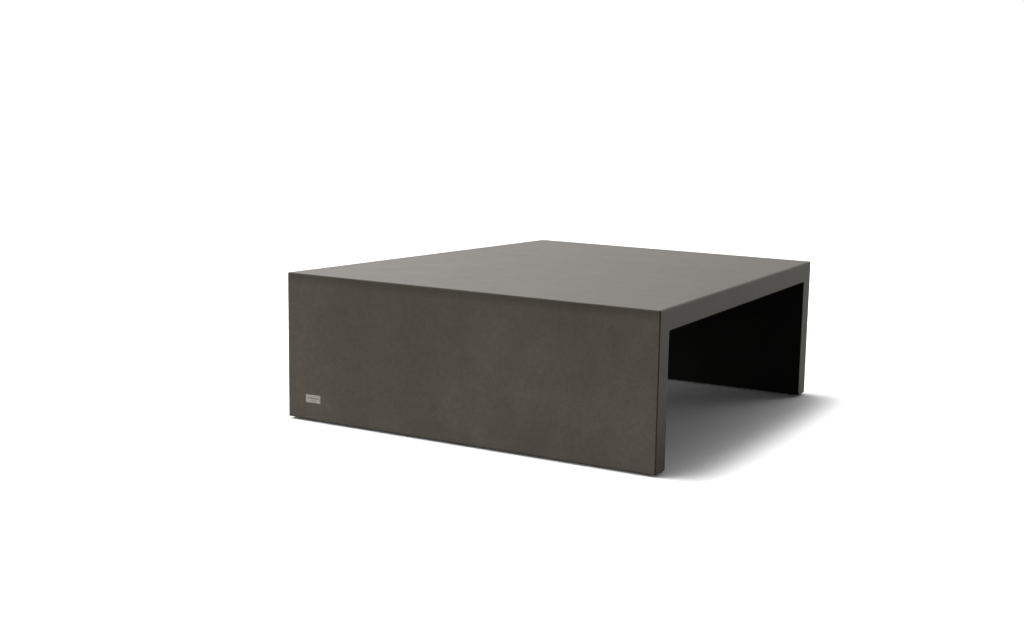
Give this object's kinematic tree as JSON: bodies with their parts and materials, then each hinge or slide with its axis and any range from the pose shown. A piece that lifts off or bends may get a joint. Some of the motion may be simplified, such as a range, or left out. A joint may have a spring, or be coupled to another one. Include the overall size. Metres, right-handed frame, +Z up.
{
  "type": "concrete coffee table",
  "caption": "Low bridge-shaped outdoor coffee table in dark cast concrete, open at two ends, one of them slanted in plan, with a black lined underside, a small blank maker's plate and levelling glides.",
  "frame": {"origin": "on the floor under the middle of the table's outline", "axes": "+Z up; the front leg panel with the maker's plate faces -Y; the square open end faces +X and the slanted one faces -X"},
  "size_m": [0.9994, 1, 0.368],
  "materials": {
    "concrete": "satin",
    "black_panel": "matte",
    "sealant": "matte",
    "frame_steel": "satin",
    "zinc_steel": "satin",
    "foam": "matte",
    "nylon": "matte",
    "plate_metal": "satin",
    "adhesive_tape": "matte"
  },
  "bodies": {
    "table": {"concrete_shell": "concrete", "top_liner": "black_panel", "front_liner": "black_panel", "back_liner": "black_panel", "front_corner_bead": "sealant", "back_corner_bead": "sealant", "rail_left": "frame_steel", "rail_right": "frame_steel", "beam_front": "frame_steel", "beam_middle": "frame_steel", "beam_back": "frame_steel", "top_block_front": "foam", "top_block_back": "foam", "front_leg_block": "foam", "back_leg_block": "foam", "nameplate": "plate_metal", "nameplate_tape": "adhesive_tape", "post_front_left": "frame_steel", "thread_insert_front_left": "zinc_steel", "post_front_right": "frame_steel", "thread_insert_front_right": "zinc_steel", "post_back_left": "frame_steel", "thread_insert_back_left": "zinc_steel", "post_back_right": "frame_steel", "thread_insert_back_right": "zinc_steel"},
    "foot_front_left": {"foot_pad_front_left": "nylon", "foot_stud_front_left": "zinc_steel"},
    "foot_front_right": {"foot_pad_front_right": "nylon", "foot_stud_front_right": "zinc_steel"},
    "foot_back_left": {"foot_pad_back_left": "nylon", "foot_stud_back_left": "zinc_steel"},
    "foot_back_right": {"foot_pad_back_right": "nylon", "foot_stud_back_right": "zinc_steel"}
  },
  "joints": [
    {"name": "foot_front_left_height", "type": "slide", "parent": "table", "child": "foot_front_left", "axis": [0, 0, -1], "range_m": [0, 0.008]},
    {"name": "foot_front_right_height", "type": "slide", "parent": "table", "child": "foot_front_right", "axis": [0, 0, -1], "range_m": [0, 0.008]},
    {"name": "foot_back_left_height", "type": "slide", "parent": "table", "child": "foot_back_left", "axis": [0, 0, -1], "range_m": [0, 0.008]},
    {"name": "foot_back_right_height", "type": "slide", "parent": "table", "child": "foot_back_right", "axis": [0, 0, -1], "range_m": [0, 0.008]}
  ]
}
